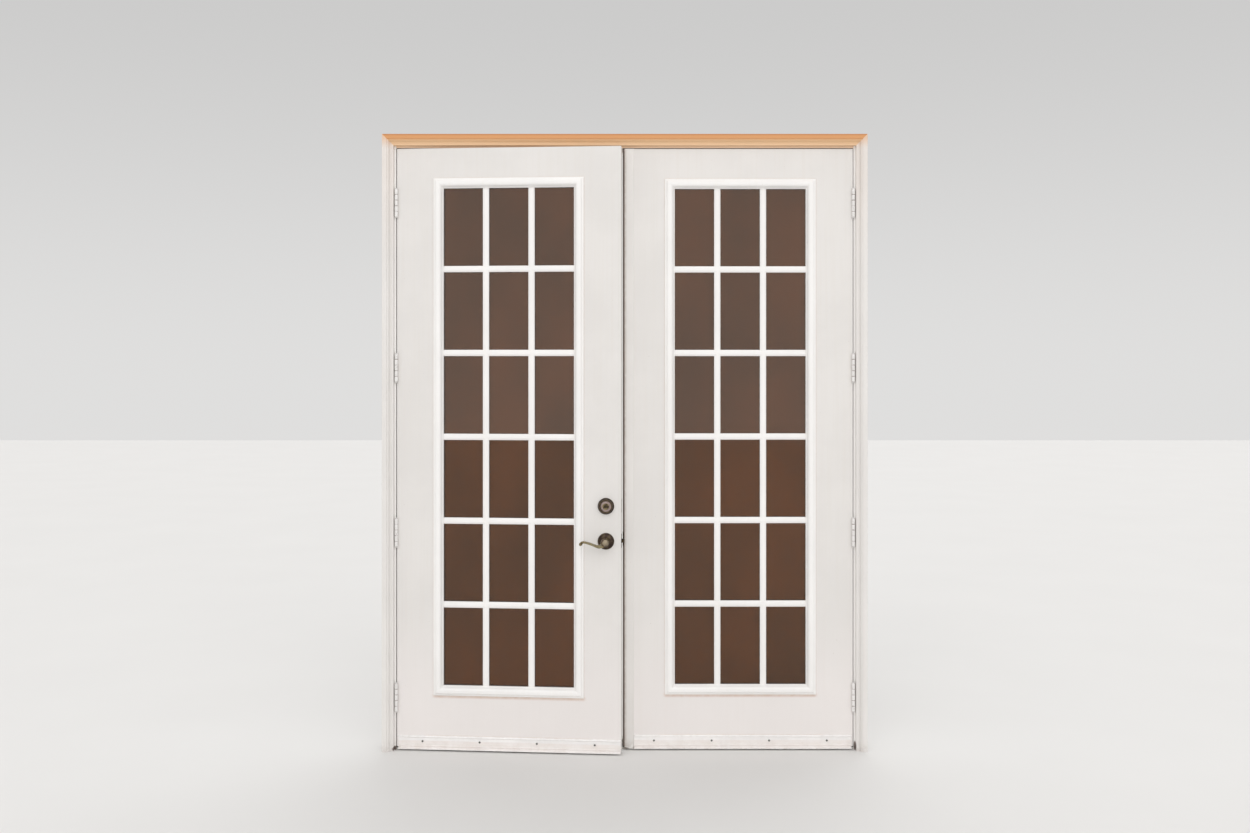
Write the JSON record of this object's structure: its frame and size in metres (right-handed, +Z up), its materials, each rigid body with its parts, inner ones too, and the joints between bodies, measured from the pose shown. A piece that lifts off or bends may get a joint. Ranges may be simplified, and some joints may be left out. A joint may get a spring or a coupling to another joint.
{
  "type": "french doors",
  "caption": "Pair of outward-opening glazed french doors in a painted frame, with divided lights, drip sweeps, butt hinges, astragal, lever latch, deadbolt and flush bolts.",
  "frame": {"origin": "middle of the sill's flat underside, halfway through the frame's depth", "axes": "+X to the right seen from outside, +Y into the building, +Z up; the outside is on -Y"},
  "size_m": [1.9512, 0.2414, 2.4822],
  "materials": {
    "white_paint": "satin white paint over wood",
    "head_paint": "cream paint over wood",
    "white_moulding": "satin white moulding",
    "white_metal": "white paint over metal",
    "saddle_aluminium": "mill finish, scuffed",
    "dark_rubber": "matt",
    "glass": "clear",
    "steel": "plated",
    "aged_bronze": "dark aged bronze plating"
  },
  "bodies": {
    "frame": {"right_jamb": "white_paint", "left_jamb": "white_paint", "head_jamb": "white_paint", "right_casing": "white_paint", "left_casing": "white_paint", "head_casing": "head_paint", "sill_base": "white_paint", "sill_saddle": "saddle_aluminium", "sill_gasket": "dark_rubber", "frame_weatherstrips": "dark_rubber", "flush_bolt_strike": "steel", "frame_screws": "white_metal", "jamb_hinge_leaves": "white_metal", "hinge_pins": "white_metal"},
    "active_leaf": {"active_slab": "white_paint", "active_outer_lite_frame": "white_moulding", "active_inner_lite_frame": "white_moulding", "active_glass_panes": "glass", "active_glass_spacer": "saddle_aluminium", "active_outer_grille": "white_moulding", "active_inner_grille": "white_moulding", "active_lite_screws": "steel", "active_hinge_leaves": "white_metal", "active_hinge_screws": "white_metal", "active_drip_sweep": "white_metal", "active_sweep_screws": "steel", "deadbolt_outer_ring": "aged_bronze", "deadbolt_inner_rose": "aged_bronze", "deadbolt_case": "steel", "outer_rose": "aged_bronze", "inner_rose": "aged_bronze", "latch_case": "aged_bronze", "lock_screws": "aged_bronze"},
    "levers": {"outer_lever": "aged_bronze", "inner_lever": "aged_bronze", "lever_spindle": "steel"},
    "latch": {"latch_tongue": "aged_bronze"},
    "thumbturn": {"deadbolt_thumbturn": "aged_bronze"},
    "key_plug": {"deadbolt_key_plug": "aged_bronze"},
    "deadbolt": {"deadbolt_bolt": "steel"},
    "inactive_leaf": {"inactive_slab": "white_paint", "inactive_outer_lite_frame": "white_moulding", "inactive_inner_lite_frame": "white_moulding", "inactive_glass_panes": "glass", "inactive_glass_spacer": "saddle_aluminium", "inactive_outer_grille": "white_moulding", "inactive_inner_grille": "white_moulding", "inactive_lite_screws": "steel", "inactive_hinge_leaves": "white_metal", "inactive_hinge_screws": "white_metal", "inactive_drip_sweep": "white_metal", "inactive_sweep_screws": "steel", "astragal": "white_metal", "astragal_gasket": "dark_rubber", "astragal_screws": "aged_bronze", "latch_strike": "aged_bronze", "deadbolt_strike": "aged_bronze", "flush_bolt_plates": "steel"},
    "top_bolt": {"top_flush_bolt": "steel"},
    "bottom_bolt": {"bottom_flush_bolt": "steel"}
  },
  "joints": [
    {"name": "active_hinge", "type": "hinge", "parent": "frame", "child": "active_leaf", "pos_m": [-0.922, -0.066, 1.21], "axis": [0, 0, -1], "range_deg": [-4.6, 105.4]},
    {"name": "inactive_hinge", "type": "hinge", "parent": "frame", "child": "inactive_leaf", "pos_m": [0.922, -0.066, 1.21], "axis": [0, 0, 1], "range_deg": [0, 110]},
    {"name": "lever_turn", "type": "hinge", "parent": "active_leaf", "child": "levers", "pos_m": [-0.07301, -0.10401, 0.8515], "axis": [-0.0802, -0.9968, 0], "range_deg": [0, 45], "stiffness_Nm_per_rad": 1.2, "springref_deg": -20.05},
    {"name": "latch_slide", "type": "slide", "parent": "active_leaf", "child": "latch", "axis": [-0.9968, 0.0802, 0], "range_m": [0, 0.0127]},
    {"name": "thumbturn_turn", "type": "hinge", "parent": "active_leaf", "child": "thumbturn", "pos_m": [-0.07301, -0.10401, 0.9912], "axis": [0.0802, 0.9968, 0], "range_deg": [-90, 0]},
    {"name": "deadbolt_slide", "type": "slide", "parent": "active_leaf", "child": "deadbolt", "axis": [-0.9968, 0.0802, 0], "range_m": [-0.0254, 0]},
    {"name": "key_plug_turn", "type": "hinge", "parent": "active_leaf", "child": "key_plug", "pos_m": [-0.07301, -0.10401, 0.9912], "axis": [0.0802, 0.9968, 0], "range_deg": [-90, 0]},
    {"name": "top_bolt_slide", "type": "slide", "parent": "inactive_leaf", "child": "top_bolt", "axis": [0, 0, -1], "range_m": [-0.015, 0]},
    {"name": "bottom_bolt_slide", "type": "slide", "parent": "inactive_leaf", "child": "bottom_bolt", "axis": [0, 0, 1], "range_m": [-0.0135, 0]}
  ],
  "couplings": [
    {"joint": "latch_slide", "follows": "lever_turn", "m_per_rad": 0.01617},
    {"joint": "deadbolt_slide", "follows": "thumbturn_turn", "m_per_rad": 0.01617},
    {"joint": "key_plug_turn", "follows": "thumbturn_turn", "ratio": 1}
  ]
}
